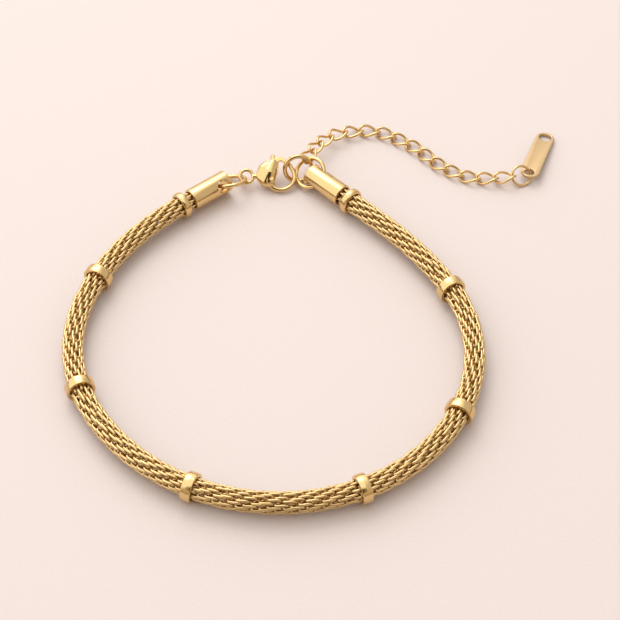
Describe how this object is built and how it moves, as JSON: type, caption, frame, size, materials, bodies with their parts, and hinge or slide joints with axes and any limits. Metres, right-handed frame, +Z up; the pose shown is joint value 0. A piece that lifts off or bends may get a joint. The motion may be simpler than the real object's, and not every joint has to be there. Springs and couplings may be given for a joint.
{
  "type": "mesh bracelet",
  "caption": "Knitted wire mesh bracelet with ring bands, barrel end caps, a lobster clasp and a curb extension chain that ends in a flat slotted tag.",
  "frame": {"origin": "middle of the wrist opening, on the plane that the bracelet lies on", "axes": "+Z up, through the wrist opening, away from that plane. +Y from the middle towards the clasp. +X towards the side on which the extension chain lies."},
  "size_m": [0.0761, 0.0753, 0.0047],
  "materials": {
    "gold": "polished gold plating",
    "mesh_gold": "polished knitted gold wire",
    "lever_gold": "polished gold plating"
  },
  "bodies": {
    "bracelet": {"mesh_tube": "mesh_gold", "band_1": "gold", "band_2": "gold", "band_3": "gold", "band_4": "gold", "band_5": "gold", "band_6": "gold", "band_7": "gold", "band_8": "gold", "end_cap_left": "gold", "end_cap_right": "gold", "cap_link_left": "gold", "cap_link_right": "gold", "clasp_body": "gold", "clasp_pin": "gold", "clasp_ring": "gold", "chain_link_01": "gold", "chain_link_02": "gold", "chain_link_03": "gold", "chain_link_04": "gold", "chain_link_05": "gold", "chain_link_06": "gold", "chain_link_07": "gold", "chain_link_08": "gold", "chain_link_09": "gold", "chain_link_10": "gold", "chain_link_11": "gold", "chain_link_12": "gold", "chain_link_13": "gold", "chain_link_14": "gold", "chain_link_15": "gold", "tag_ring": "gold", "tag": "gold"},
    "lever": {"clasp_lever": "lever_gold"}
  },
  "joints": [
    {"name": "lever_pivot", "type": "hinge", "parent": "bracelet", "child": "lever", "pos_m": [-0.00077, 0.03054, 0.00149], "axis": [0.0147, -0.506, 0.8624], "range_deg": [0, 16], "stiffness_Nm_per_rad": 0.001, "springref_deg": -11.46}
  ]
}
